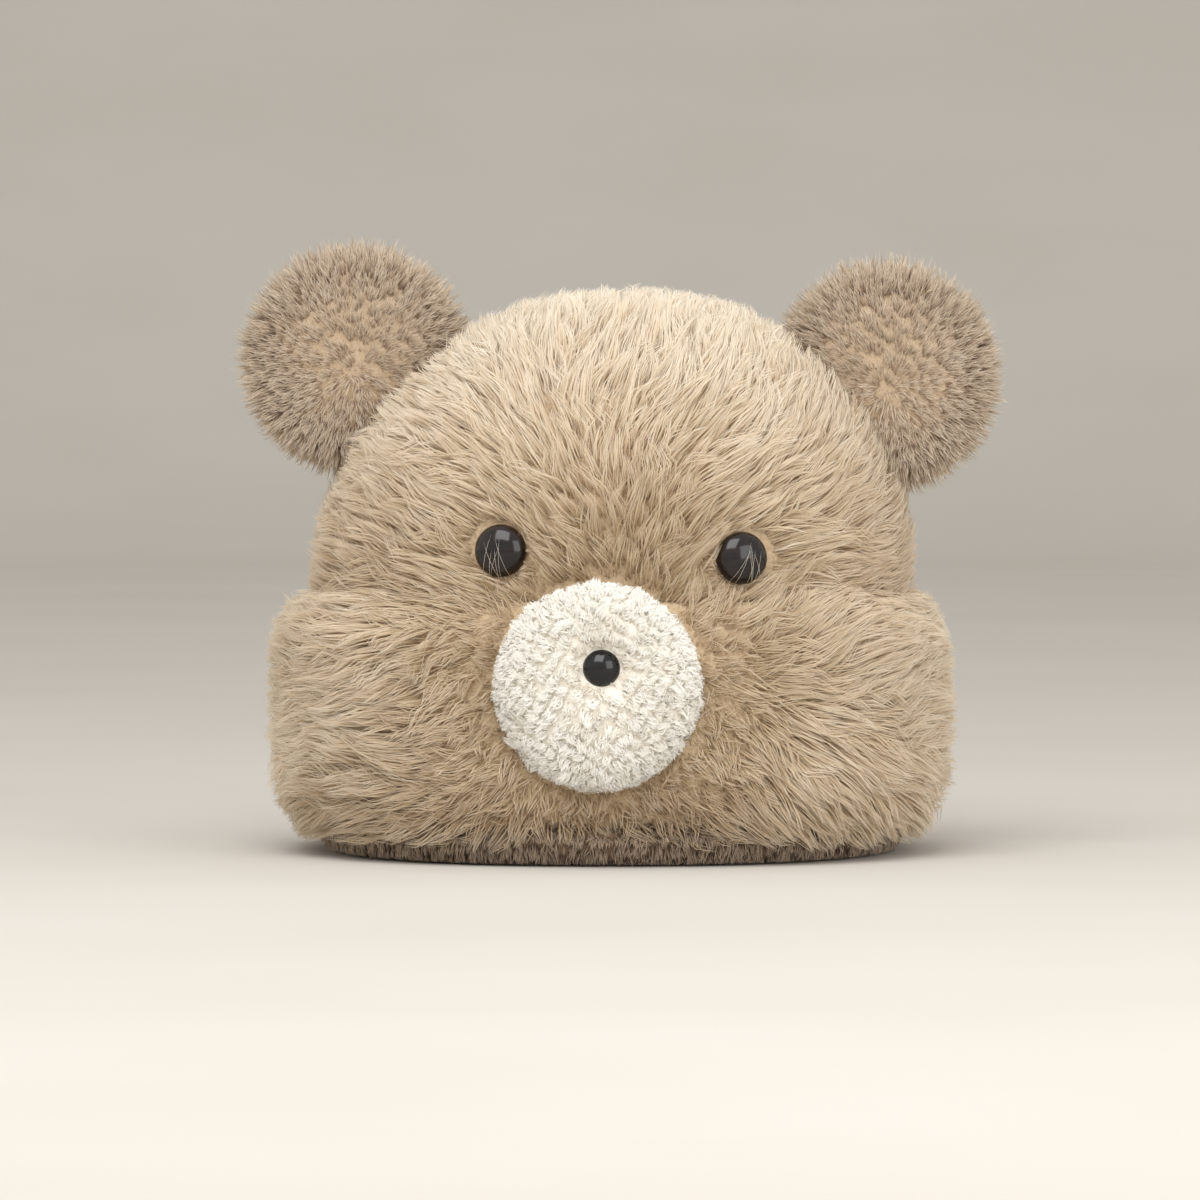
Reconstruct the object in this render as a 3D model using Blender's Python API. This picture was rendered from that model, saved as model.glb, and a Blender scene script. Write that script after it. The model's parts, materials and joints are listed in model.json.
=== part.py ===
"""Plush winter hat with bear ears: a hollow crown of a side and a top, a turned up cuff, a rolled rim, two
stuffed ears, a fleece muzzle, two button eyes and a button nose. Long pile is modelled as locks fused to a thin
backing. Metres, +Z up, the face looks along -Y, and the hat stands on its rim at z = 0."""

import math

import bmesh
import bpy
import numpy as np
from mathutils import Matrix, Vector

# Clearance between neighbouring pieces
GAP = 0.0003

# Rim: the padded hem that the hat stands on. Reach and inset are measured from the crown's outer face.
RIM_HEIGHT = 0.0133
RIM_REACH = 0.0060
RIM_INSET = 0.0140
RIM_FOOT = 0.0080
RIM_PILE = 0.0012

# Crown: an oval side that rises straight to the spring line, with a dome sewn on it. The lean is how far the dome's
# top lies to the right of the middle.
CROWN_HALF_WIDTH = 0.0984
CROWN_HALF_DEPTH = 0.0886
CROWN_STRAIGHT = 0.0804
CROWN_RISE = 0.0950
CROWN_WALL = 0.0030
CROWN_LEAN = 0.0055
SECTION_POWER = 2.2
DOME_POWER = 2.1

# Crown pile: the locks' length off the wall, their backing, how far each tip is combed along the surface, and the
# sideways share of that comb, which makes the swirl
CROWN_FUR_DEPTH = 0.0112
CROWN_FUR_BACKING = 0.0050
CROWN_FUR_COMB = 0.0050
CROWN_SWIRL = 0.3

# Cuff: the brim turned up double, then its own pile. The hang is the pile's downward share against its share away
# from the muzzle, and the hem's locks slide by only a part of the comb.
CUFF_HEIGHT = 0.0782
CUFF_PAD = 0.0090
CUFF_FUR_DEPTH = 0.0122
CUFF_FUR_BACKING = 0.0055
CUFF_FUR_COMB = 0.0045
CUFF_HANG = 0.45
HEM_COMB_SHARE = 0.45

# Ears: stuffed discs that face forward, placed from the middle of the face and the spring line. A fullness under 1
# makes a padded face flatter in its middle and rounder at its edge.
EAR_RADIUS = 0.0340
EAR_HALF_THICKNESS = 0.0130
EAR_FULLNESS = 0.8
EAR_FUR_DEPTH = 0.0056
EAR_FUR_BACKING = 0.0022
EAR_FUR_COMB = 0.0015
EAR_SPREAD = 0.0945
EAR_ABOVE_SPRING = 0.0786
EAR_SET_BACK = -0.0040

# The face sits this far off the crown's middle, and leans by this angle, so the left side is higher
FACE_SHIFT = 0.0033
FACE_TILT = math.radians(1.84)

# Eyes: domed buttons on a shank, placed over the cuff's top
EYE_RADIUS = 0.0092
EYE_BACK_RADIUS = 0.0086
EYE_DOME = 0.0056
EYE_EDGE = 0.0016
EYE_SHANK_RADIUS = 0.0020
EYE_STAND_OFF = 0.0035
EYE_SPREAD = 0.0403
EYE_ABOVE_CUFF = 0.0165

# Muzzle: a padded fleece disc sewn on the cuff, placed from its foot, and the nose sunk in a dimple in it
MUZZLE_RADIUS = 0.0338
MUZZLE_THICKNESS = 0.0165
MUZZLE_EDGE = 0.0040
MUZZLE_NUB = 0.0016
MUZZLE_FULLNESS = 0.7
MUZZLE_SHIFT = -0.0081
MUZZLE_ABOVE_HEM = 0.0494
NOSE_RADIUS = 0.0070
NOSE_HALF_DEPTH = 0.0054
NOSE_PROUD = 0.0022
NOSE_SHANK_RADIUS = 0.0018
NOSE_SEAT = 0.0012
NOSE_SHIFT = -0.0067
NOSE_ABOVE_MUZZLE = 0.0068
DIMPLE_RADIUS = 0.0085
DIMPLE_DEPTH = 0.0040

# How finely each form is faceted, the small angle along which the comb is measured, and the height on a unit ball over
# which the crown's locks stand straight up
WALL_SIDES = 32
WALL_STEPS = 8
RIM_SIDES = 48
CUFF_LOCKS_ROUND = 60
CROWN_LOCKS = 424
EAR_LOCKS = 120
MUZZLE_NUBS = 106
BUTTON_SIDES = 14
EYE_STEPS = 6
NOSE_STEPS = 9
SOCKET_SIDES = 44
COMB_STEP = 0.02
WHORL = 0.99

# Heights that follow from the sizes above
CROWN_FOOT = RIM_HEIGHT + GAP
SPRING_LINE = CROWN_FOOT + CROWN_STRAIGHT
CUFF_TOP = CROWN_FOOT + CUFF_HEIGHT
EAR_HEIGHT = SPRING_LINE + EAR_ABOVE_SPRING
EYE_HEIGHT = CUFF_TOP + EYE_ABOVE_CUFF
MUZZLE_HEIGHT = CROWN_FOOT + MUZZLE_ABOVE_HEM
NOSE_HEIGHT = MUZZLE_HEIGHT + NOSE_ABOVE_MUZZLE

# Rim section, from the foot's inner edge round to the inner face: shares of the way from inset to reach, and of
# the rim's height. The two foot rows are flat on the floor.
RIM_SECTION = (
    # across, height, pile
    ("foot inner edge", 0.00, 0.00, 0.0),
    ("foot outer edge", None, 0.00, 0.0),
    ("lower roll", 0.66, 0.15, 0.6),
    ("middle roll", 0.84, 0.40, 1.0),
    ("upper roll", 0.97, 0.72, 1.0),
    ("top outer edge", 0.95, 0.97, 0.4),
    ("top", 0.72, 1.00, 0.0),
    ("top inner edge", 0.30, 1.00, 0.0),
    ("inner face", 0.04, 0.62, 0.0),
)

# Cuff section: shares of the cuff's height, of its padding and of its pile's reach. The cuff's own wall turns at the
# rows where wall is set, and the pile has a row of locks at every row.
CUFF_SECTION = (
    # name, height, padding, pile, wall
    ("hem", 0.000, 0.16, 0.86, True),
    ("lower turn", 0.060, 0.50, 0.92, False),
    ("lower belly", 0.135, 0.80, 0.97, True),
    ("belly", 0.255, 1.00, 1.00, True),
    ("middle", 0.400, 1.00, 1.00, False),
    ("upper belly", 0.545, 1.00, 0.99, False),
    ("shoulder", 0.690, 0.97, 0.97, True),
    ("upper shoulder", 0.820, 0.86, 0.93, False),
    ("upper turn", 0.925, 0.62, 0.86, True),
    ("top edge", 1.000, 0.22, 0.74, True),
)
CUFF_WALL = [(height, padding) for _, height, padding, _, wall in CUFF_SECTION if wall]


def clear_scene():
    for obj in list(bpy.data.objects):
        bpy.data.objects.remove(obj, do_unlink=True)


def material(name, hex_colour, roughness):
    """A Principled material in one sRGB colour."""
    made = bpy.data.materials.new(name)
    made.use_nodes = True
    shader = made.node_tree.nodes["Principled BSDF"]
    channels = [int(hex_colour[i : i + 2], 16) / 255 for i in (1, 3, 5)]
    linear = [c / 12.92 if c <= 0.04045 else ((c + 0.055) / 1.055) ** 2.4 for c in channels]
    shader.inputs["Base Color"].default_value = (*linear, 1)
    shader.inputs["Roughness"].default_value = roughness
    shader.inputs["Metallic"].default_value = 0
    made.diffuse_color = (*linear, 1)
    return made


def solid(name, points, faces, finish=None):
    """One closed mesh object from arrays, with coinciding points merged and faces turned outwards."""
    mesh = bpy.data.meshes.new(name)
    mesh.from_pydata(np.asarray(points, float).tolist(), [], [list(map(int, face)) for face in faces])
    shape = bmesh.new()
    shape.from_mesh(mesh)
    bmesh.ops.remove_doubles(shape, verts=shape.verts, dist=1e-6)
    bmesh.ops.recalc_face_normals(shape, faces=shape.faces)
    shape.to_mesh(mesh)
    shape.free()
    obj = bpy.data.objects.new(name, mesh)
    bpy.context.scene.collection.objects.link(obj)
    if finish is None:
        obj.hide_render = True
        obj.display_type = "WIRE"
    else:
        mesh.materials.append(finish)
    return obj


def grid_faces(rows, columns, wrap_rows):
    """Quads of a grid that is closed round its columns, and round its rows too where wrap_rows is set."""
    faces = []
    for row in range(rows if wrap_rows else rows - 1):
        above = (row + 1) % rows
        for column in range(columns):
            beside = (column + 1) % columns
            faces.append(
                (
                    row * columns + column,
                    row * columns + beside,
                    above * columns + beside,
                    above * columns + column,
                )
            )
    return faces


def lock_grid_faces(rows, columns):
    """Triangles of a grid closed both ways, each quad split along the diagonal that joins its two low points, so that
    every lock's tip stands by itself. Tips are the points whose row and column add up to an even number."""
    faces = []
    for face in grid_faces(rows, columns, True):
        row, column = divmod(face[0], columns)
        a, b, c, d = face
        starts_at_tip = (row + column) % 2 == 0
        faces += [(a, b, d), (b, c, d)] if starts_at_tip else [(a, b, c), (a, c, d)]
    return faces


def signed_power(values, power):
    return np.sign(values) * np.abs(values) ** power


def oval(turn, half_width, half_depth):
    """x and y on a rounded oval, a superellipse. Turn 0 is the face side and grows towards +X."""
    across = half_width * signed_power(np.sin(turn), 2 / SECTION_POWER)
    along = -half_depth * signed_power(np.cos(turn), 2 / SECTION_POWER)
    return across, along


def oval_reach(x, offset):
    """How far the oval that is offset from the crown's outer face reaches along -Y at x."""
    share = np.clip(np.abs(x) / (CROWN_HALF_WIDTH + offset), 0, 1)
    return (CROWN_HALF_DEPTH + offset) * (1 - share**SECTION_POWER) ** (1 / SECTION_POWER)


def crown_lean(z):
    return CROWN_LEAN * np.clip((z - SPRING_LINE) / CROWN_RISE, 0, None)


def dome_point(turn, climb, offset):
    """A point on the dome offset from the crown's outer face: the oval shrinks as a superellipse of DOME_POWER while
    it rises. Climb runs from 0 at the spring line to a quarter turn at the top."""
    level = np.abs(np.cos(climb)) ** (2 / DOME_POWER)
    z = SPRING_LINE + (CROWN_RISE + offset) * signed_power(np.sin(climb), 2 / DOME_POWER)
    x, y = oval(turn, (CROWN_HALF_WIDTH + offset) * level, (CROWN_HALF_DEPTH + offset) * level)
    return np.stack([x + crown_lean(z), y, z], axis=-1)


def level_row(offset, height, sides):
    """A level row of points round the crown, at one offset from its outer face."""
    turn = np.arange(sides) / sides * 2 * math.pi
    x, y = oval(turn, CROWN_HALF_WIDTH + offset, CROWN_HALF_DEPTH + offset)
    return np.stack([x, y, np.full(sides, height)], axis=-1)


def dome_rows(offset):
    """Rows of points over the dome from the spring line to the pole, at one offset from the crown's outer face."""
    turn = np.arange(WALL_SIDES) / WALL_SIDES * 2 * math.pi
    climbs = np.linspace(0, math.pi / 2, WALL_STEPS)
    return [dome_point(turn, np.full(WALL_SIDES, climb), offset) for climb in climbs]


def shell_mesh(outer, inner):
    """Points and faces of a wall between two stacks of rows that both end in a pole, joined along their first rows."""
    sides = len(outer[0])
    points = np.concatenate(outer + inner)
    faces = grid_faces(len(outer), sides, False)
    start = len(outer) * sides
    faces += [tuple(start + i for i in reversed(face)) for face in grid_faces(len(inner), sides, False)]
    for column in range(sides):
        beside = (column + 1) % sides
        faces.append((column, start + column, start + beside, beside))
    return points, faces


def ring(name, stack, finish):
    """A closed ring round the crown from a stack of offsets and heights."""
    rows = [level_row(offset, height, WALL_SIDES) for offset, height in stack]
    return solid(name, np.concatenate(rows), grid_faces(len(rows), WALL_SIDES, True), finish)


def make_crown_side(finish):
    top = SPRING_LINE - GAP
    stack = [(0, CROWN_FOOT), (0, top), (-CROWN_WALL, top), (-CROWN_WALL, CROWN_FOOT)]
    return ring("crown_side", stack, finish)


def make_crown_top(finish):
    return solid("crown_top", *shell_mesh(dome_rows(0), dome_rows(-CROWN_WALL)), finish)


def crown_plug(name, offset, foot):
    """A closed cutter that fills the crown out to an offset from its outer face."""
    middle = np.array([[0, 0, foot]] * WALL_SIDES)
    rows = [middle, level_row(offset, foot, WALL_SIDES)] + dome_rows(offset)
    return solid(name, np.concatenate(rows), grid_faces(len(rows), WALL_SIDES, False))


def rim_offset(share):
    return share * (RIM_REACH + RIM_INSET) - RIM_INSET


def make_rim_band(finish):
    """The rim's section carried round the oval, with short pile as small alternate rises on its outer rows."""
    turn = np.arange(RIM_SIDES) / RIM_SIDES * 2 * math.pi
    rows = []
    for index, (_, across, height, pile) in enumerate(RIM_SECTION):
        offset = RIM_FOOT - RIM_INSET if across is None else rim_offset(across)
        raised = (np.arange(RIM_SIDES) + index) % 2
        offsets = offset + raised * pile * RIM_PILE
        x, y = oval(turn, CROWN_HALF_WIDTH + offsets, CROWN_HALF_DEPTH + offsets)
        rows.append(np.stack([x, y, np.full(RIM_SIDES, height * RIM_HEIGHT)], axis=-1))
    return solid("rim_band", np.concatenate(rows), grid_faces(len(rows), RIM_SIDES, True), finish)


def make_cuff(finish):
    """The turned up brim: the cuff's section carried round the oval, its inner face close to the crown."""
    stack = [(GAP + padding * CUFF_PAD, CROWN_FOOT + height * CUFF_HEIGHT) for height, padding in CUFF_WALL]
    stack += [(GAP, CUFF_TOP), (GAP, CROWN_FOOT)]
    return ring("cuff", stack, finish)


def cuff_comb(x, y, z):
    """Unit direction, round the hat and up, in which the cuff's pile lies: away from the muzzle over the face side,
    and down over the back."""
    aside = x - (FACE_SHIFT + MUZZLE_SHIFT)
    above = z - MUZZLE_HEIGHT
    front = np.clip(-y / CROWN_HALF_DEPTH, 0, 1)
    around = front * np.clip(aside / MUZZLE_RADIUS, -1, 1)
    upward = front * np.clip(above / MUZZLE_RADIUS, -1, 1) - CUFF_HANG
    length = np.hypot(around, upward)
    return around / length, upward / length


def make_cuff_fur(finish):
    """A ring of locks round the cuff. On the outer grid every other point is a lock's tip, raised by the pile's reach
    and combed along the surface, and the points between lie on the backing."""
    count = CUFF_LOCKS_ROUND
    turn = np.arange(count) / count * 2 * math.pi
    rows = []
    last = len(CUFF_SECTION) - 1
    for index, (_, height, padding, pile, _) in enumerate(CUFF_SECTION):
        tip = (np.arange(count) + index) % 2 == 0
        base = 2 * GAP + padding * CUFF_PAD
        offsets = base + np.where(tip, CUFF_FUR_DEPTH * pile, CUFF_FUR_BACKING)
        x, y = oval(turn, CROWN_HALF_WIDTH + offsets, CROWN_HALF_DEPTH + offsets)
        z = np.full(count, CROWN_FOOT + height * CUFF_HEIGHT)
        around, upward = cuff_comb(x, y, z)
        slide = np.where(tip, CUFF_FUR_COMB, 0)
        if index == last:
            upward = np.minimum(upward, 0)
        radius = (CROWN_HALF_WIDTH + CROWN_HALF_DEPTH) / 2
        x, y = oval(turn + slide * around / radius, CROWN_HALF_WIDTH + offsets, CROWN_HALF_DEPTH + offsets)
        z = z + slide * upward * (HEM_COMB_SHARE if index == 0 else 1)
        rows.append(np.stack([x, y, z], axis=-1))
    for height, padding in reversed(CUFF_WALL):
        rows.append(level_row(2 * GAP + padding * CUFF_PAD, CROWN_FOOT + height * CUFF_HEIGHT, count))
    return solid("cuff_fur", np.concatenate(rows), lock_grid_faces(len(rows), count), finish)


def lock_sphere(tips):
    """Directions and faces of a ball for a coat of locks. The lock tips lie on a golden angle spiral and are joined by
    their convex hull. Then each face is divided in four, and the new points between the tips lie on the backing."""
    order = np.arange(tips)
    height = 1 - (2 * order + 1) / tips
    turn = order * math.pi * (3 - math.sqrt(5))
    level = np.sqrt(1 - height**2)
    spiral = np.stack([level * np.cos(turn), level * np.sin(turn), height], axis=1)
    shape = bmesh.new()
    for point in spiral:
        shape.verts.new(point)
    shape.verts.index_update()
    bmesh.ops.convex_hull(shape, input=shape.verts)
    bmesh.ops.triangulate(shape, faces=shape.faces)
    faces = np.array([[vert.index for vert in face.verts] for face in shape.faces])
    shape.free()
    edges = np.sort(np.concatenate([faces[:, [0, 1]], faces[:, [1, 2]], faces[:, [2, 0]]]), axis=1)
    edges, index = np.unique(edges, axis=0, return_inverse=True)
    middles = spiral[edges].sum(axis=1)
    middles /= np.linalg.norm(middles, axis=1, keepdims=True)
    a, b, c = faces.T
    ab, bc, ca = index.reshape(3, -1) + tips
    small = [np.stack(corners, axis=1) for corners in ((a, ab, ca), (ab, b, bc), (ca, bc, c), (ab, bc, ca))]
    return np.concatenate([spiral, middles]), np.concatenate(small)


def make_crown_fur(finish, cutters):
    """Locks over the whole dome, combed down from the crown's top with a slight swirl, then cut back to the crown,
    the cuff's top, and the pieces that sit in the fur."""
    directions, faces = lock_sphere(CROWN_LOCKS)
    turn = np.arctan2(directions[:, 0], -directions[:, 1])
    climb = np.arcsin(np.clip(directions[:, 2], -1, 1))
    is_tip = np.arange(len(directions)) < CROWN_LOCKS
    offset = np.where(is_tip, CROWN_FUR_DEPTH, CROWN_FUR_BACKING)
    points = dome_point(turn, climb, offset)
    below = dome_point(turn, climb - COMB_STEP, offset) - points
    beside = dome_point(turn + COMB_STEP, climb, offset) - points
    comb = below / np.linalg.norm(below, axis=1, keepdims=True)
    comb += CROWN_SWIRL * beside / (np.linalg.norm(beside, axis=1, keepdims=True) + 1e-9)
    comb /= np.linalg.norm(comb, axis=1, keepdims=True)
    at_top = directions[:, 2] > WHORL
    points += np.where((is_tip & ~at_top)[:, None], comb * CROWN_FUR_COMB, 0)
    fur = solid("crown_fur", points, faces, finish)
    return cut(fur, cutters)


def ear_place(side):
    """Centre of an ear, -1 for the left and 1 for the right."""
    return (
        FACE_SHIFT + side * EAR_SPREAD * math.cos(FACE_TILT),
        EAR_SET_BACK,
        EAR_HEIGHT - side * EAR_SPREAD * math.sin(FACE_TILT),
    )


def ear_points(directions, offset, side):
    """A stuffed disc: round seen from the front, with full edges, its two faces domed."""
    radius = EAR_RADIUS + offset
    depth = EAR_HALF_THICKNESS + offset
    flat = np.stack([directions[:, 0] * radius, directions[:, 2] * radius], axis=1)
    thick = depth * signed_power(directions[:, 1], EAR_FULLNESS)
    return np.stack([flat[:, 0], thick, flat[:, 1]], axis=1) + np.array(ear_place(side))


def make_ear(name, side, finish, plug):
    directions, faces = lock_sphere(EAR_LOCKS)
    is_tip = np.arange(len(directions)) < EAR_LOCKS
    offset = np.where(is_tip, EAR_FUR_DEPTH, EAR_FUR_BACKING)
    points = ear_points(directions, offset, side)
    outward = directions * np.array([1, 0, 1])
    outward /= np.linalg.norm(outward, axis=1, keepdims=True) + 1e-9
    face_share = np.abs(directions[:, 1:2])
    points += np.where(is_tip[:, None], outward * face_share * EAR_FUR_COMB, 0)
    ear = solid(name, points, faces, finish)
    return cut(ear, [plug])


def ear_envelope(name, side):
    directions, faces = lock_sphere(EAR_LOCKS)
    return solid(name, ear_points(directions, EAR_FUR_DEPTH + 2 * GAP, side), faces)


def make_muzzle(finish, nose_socket):
    """A padded disc that follows the cuff's curve, with fleece nubs as alternate rises and a dimple at the nose."""
    directions, faces = lock_sphere(MUZZLE_NUBS)
    nub = np.where(np.arange(len(directions)) < MUZZLE_NUBS, MUZZLE_NUB, 0)
    radius = MUZZLE_RADIUS + nub
    aside, away, up = directions[:, 0] * radius, -directions[:, 1], directions[:, 2] * radius
    x = FACE_SHIFT + MUZZLE_SHIFT + aside
    z = MUZZLE_HEIGHT + up
    front = MUZZLE_THICKNESS - MUZZLE_EDGE + nub
    back = MUZZLE_EDGE - GAP
    stand = MUZZLE_EDGE + np.where(away > 0, front, back) * signed_power(away, MUZZLE_FULLNESS)
    from_nose = np.hypot(x - FACE_SHIFT - NOSE_SHIFT, z - NOSE_HEIGHT)
    dimple = DIMPLE_DEPTH * np.exp(-((from_nose / DIMPLE_RADIUS) ** 2))
    stand = stand - np.where(away > 0, dimple, 0)
    y = -(oval_reach(x, GAP + CUFF_PAD) + stand)
    muzzle = solid("muzzle", np.stack([x, y, z], axis=1), faces, finish)
    return cut(muzzle, [nose_socket])


def turned(name, profile, place, direction, finish=None, sides=BUTTON_SIDES):
    """A profile of radii and distances turned about an axis that starts at place and points along direction."""
    turn = np.arange(sides) / sides * 2 * math.pi
    rows = [np.stack([r * np.cos(turn), r * np.sin(turn), np.full(sides, h)], axis=-1) for r, h in profile]
    facing = np.array(Vector(direction).to_track_quat("Z", "Y").to_matrix())
    points = np.concatenate(rows) @ facing.T + np.array(place)
    return solid(name, points, grid_faces(len(rows), sides, False), finish)


def eye_place(side):
    """Where an eye's axis leaves the crown's outer face, and the direction square to the wall there."""
    x = FACE_SHIFT + side * EYE_SPREAD * math.cos(FACE_TILT)
    z = EYE_HEIGHT - side * EYE_SPREAD * math.sin(FACE_TILT)
    level = (1 - ((z - SPRING_LINE) / CROWN_RISE) ** DOME_POWER) ** (1 / DOME_POWER)
    width, depth = CROWN_HALF_WIDTH * level, CROWN_HALF_DEPTH * level
    share = abs(x - crown_lean(z)) / width
    y = -depth * (1 - share**SECTION_POWER) ** (1 / SECTION_POWER)
    square = math.copysign(share ** (SECTION_POWER - 1) / width, x)
    ahead = (-y / depth) ** (SECTION_POWER - 1) / depth
    return (x, y, z), (square, -ahead, 0)


def eye_profile():
    """Shank, flat back, short edge, then a dome of circular section."""
    dome_start = EYE_STAND_OFF + EYE_EDGE
    profile = [(0, GAP * 2), (EYE_SHANK_RADIUS, GAP * 2), (EYE_SHANK_RADIUS, EYE_STAND_OFF)]
    profile += [(EYE_BACK_RADIUS, EYE_STAND_OFF), (EYE_RADIUS, EYE_STAND_OFF + EYE_EDGE / 2)]
    for angle in np.linspace(0, math.pi / 2, EYE_STEPS):
        profile.append((EYE_RADIUS * math.cos(angle), dome_start + EYE_DOME * math.sin(angle)))
    profile[-1] = (0, dome_start + EYE_DOME)
    return profile


def eye_socket_profile():
    """The room that an eye takes in the fur: its shank, then its full width out through the pile."""
    shank, wide = EYE_SHANK_RADIUS + GAP, EYE_RADIUS + GAP
    back = EYE_STAND_OFF - GAP
    far = EYE_STAND_OFF + EYE_EDGE + EYE_DOME + CROWN_FUR_DEPTH
    return [(0, -GAP), (shank, -GAP), (shank, back), (wide, back), (wide, far), (0, far)]


def nose_seat():
    """How far the end of the nose's shank lies along -Y, just inside the muzzle's back."""
    return oval_reach(FACE_SHIFT + NOSE_SHIFT, GAP + CUFF_PAD) + NOSE_SEAT


def nose_front():
    """How far the nose's foremost point lies along -Y."""
    x = FACE_SHIFT + NOSE_SHIFT
    return oval_reach(x, GAP + CUFF_PAD) + MUZZLE_THICKNESS + NOSE_PROUD - DIMPLE_DEPTH / 2


def nose_profile(grow):
    """A flattened ball with a shank behind it, as radii and distances from the shank's end, grown by a clearance."""
    radius, half_depth = NOSE_RADIUS + grow, NOSE_HALF_DEPTH + grow
    middle = nose_front() - nose_seat() - NOSE_HALF_DEPTH
    start = math.asin((NOSE_SHANK_RADIUS + grow) / radius)
    profile = [(0, -grow), (NOSE_SHANK_RADIUS + grow, -grow)]
    for angle in np.linspace(start, math.pi, NOSE_STEPS):
        profile.append((radius * math.sin(angle), middle - half_depth * math.cos(angle)))
    profile[-1] = (0, middle + half_depth)
    return profile


def muzzle_socket():
    """The room that the muzzle takes in the fur: a disc's width, from the cuff's face out past the pile."""
    reach = MUZZLE_RADIUS + MUZZLE_NUB + 2 * GAP
    start = CROWN_HALF_DEPTH / 2
    far = CROWN_HALF_DEPTH + CUFF_PAD + MUZZLE_THICKNESS + CUFF_FUR_DEPTH - start
    profile = [(0, 0), (reach, 0), (reach, far), (0, far)]
    place = (FACE_SHIFT + MUZZLE_SHIFT, -start, MUZZLE_HEIGHT)
    return turned("muzzle_socket", profile, place, (0, -1, 0), sides=SOCKET_SIDES)


def below_cuff_top():
    """A block that takes away everything under the crown pile's lower edge, just over the cuff."""
    half = CROWN_HALF_WIDTH * 2
    top = CUFF_TOP + GAP
    corners = [(x, y, z) for z in (-half, top) for x, y in ((-half, -half), (half, -half), (half, half), (-half, half))]
    faces = [(3, 2, 1, 0), (4, 5, 6, 7), (0, 1, 5, 4), (1, 2, 6, 5), (2, 3, 7, 6), (3, 0, 4, 7)]
    return solid("below_cuff_top", corners, faces)


def cut(obj, cutters):
    """Takes each cutter away from the object with an exact Boolean."""
    for cutter in cutters:
        step = obj.modifiers.new("cut " + cutter.name, "BOOLEAN")
        step.operation = "DIFFERENCE"
        step.solver = "EXACT"
        step.object = cutter
    return obj


def smooth(obj, angle):
    obj.data.shade_smooth()
    obj.data.set_sharp_from_angle(angle=math.radians(angle))


def stand_on_origin(nodes):
    """Hangs every object on one empty, and moves that so the nodes' box is centred over the origin and starts at 0."""
    root = bpy.data.objects.new("hat_origin", None)
    bpy.context.scene.collection.objects.link(root)
    for obj in list(bpy.data.objects):
        if obj is not root:
            obj.parent = root
    bpy.context.view_layer.update()
    graph = bpy.context.evaluated_depsgraph_get()
    low, high = np.full(3, np.inf), np.full(3, -np.inf)
    for obj in nodes:
        corners = np.array(obj.evaluated_get(graph).bound_box)
        low, high = np.minimum(low, corners.min(axis=0)), np.maximum(high, corners.max(axis=0))
    middle = (low + high) / 2
    root.matrix_world = Matrix.Translation((-middle[0], -middle[1], -low[2]))


def main():
    clear_scene()
    plush = material("beige long pile plush", "#CBB293", 0.9)
    plush_ear = material("beige short pile plush", "#C2A98B", 0.9)
    rim_plush = material("brown beige short pile", "#8E7763", 0.9)
    ground = material("beige knitted ground cloth", "#B49A7C", 0.95)
    fleece = material("cream sherpa fleece", "#F1EBDB", 0.95)
    glossy_eye = material("dark brown acrylic", "#1E1412", 0.08)
    glossy_nose = material("black acrylic", "#0B0A0D", 0.08)

    crown_side = make_crown_side(ground)
    crown_top = make_crown_top(ground)
    cuff = make_cuff(ground)
    rim = make_rim_band(rim_plush)
    cuff_fur = cut(make_cuff_fur(plush), [muzzle_socket()])

    plug = crown_plug("crown_plug", GAP, CROWN_FOOT)
    fur_plug = crown_plug("crown_fur_plug", GAP, -CROWN_FOOT)
    sockets = [bpy.data.objects["muzzle_socket"]]
    ears, eyes = [], []
    for name, side in (("left", -1), ("right", 1)):
        ears.append(make_ear("ear_" + name, side, plush_ear, plug))
        sockets.append(ear_envelope("ear_socket_" + name, side))
        place, direction = eye_place(side)
        eyes.append(turned("eye_" + name, eye_profile(), place, direction, glossy_eye))
        sockets.append(turned("eye_socket_" + name, eye_socket_profile(), place, direction))
    crown_fur = make_crown_fur(plush, [fur_plug, below_cuff_top()] + sockets)

    nose_end = (FACE_SHIFT + NOSE_SHIFT, -nose_seat(), NOSE_HEIGHT)
    nose = turned("nose", nose_profile(0), nose_end, (0, -1, 0), glossy_nose)
    nose_socket = turned("nose_socket", nose_profile(GAP), nose_end, (0, -1, 0))
    muzzle = make_muzzle(fleece, nose_socket)

    for obj in (crown_side, crown_top, cuff, rim, nose, *eyes):
        smooth(obj, 40)
    stand_on_origin([crown_side, crown_top, crown_fur, cuff, cuff_fur, rim, muzzle, nose, *ears, *eyes])


main()
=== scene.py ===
"""Looks of the plush bear ear hat: long combed pile on the crown and the cuff, short pile on the ears and
the rim, curly fleece on the muzzle, and glossy buttons for eyes and nose. Metres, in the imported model's
own frame."""

import json
import math

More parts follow.
